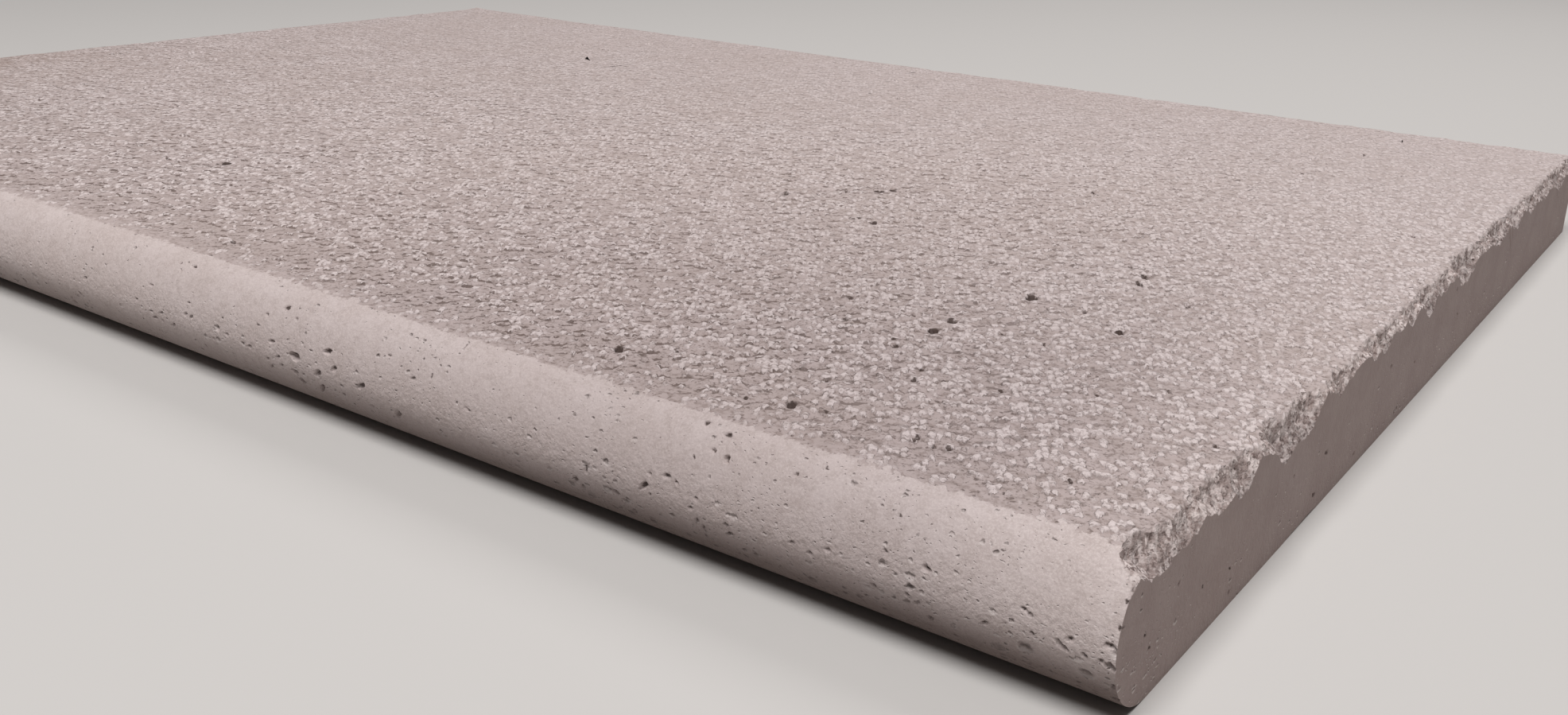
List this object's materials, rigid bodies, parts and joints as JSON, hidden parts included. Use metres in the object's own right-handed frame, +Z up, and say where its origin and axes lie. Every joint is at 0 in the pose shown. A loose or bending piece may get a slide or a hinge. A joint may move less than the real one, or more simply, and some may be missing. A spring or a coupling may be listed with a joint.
{
  "type": "bullnose coping stone",
  "caption": "Rectangular travertine coping slab with a full bullnose along its front edge, a rough textured top, and a broken top edge on its right-hand end.",
  "frame": {"origin": "centre of the underside, on the plane that the slab lies on", "axes": "+X along the bullnose towards the broken end, -Y out of the bullnose, +Z up through the textured top"},
  "size_m": [0.61, 0.406, 0.03],
  "materials": {
    "travertine": "bush-hammered top, honed nose, sawn ends, back and underside"
  },
  "bodies": {
    "root": {"coping": "travertine"}
  },
  "joints": []
}
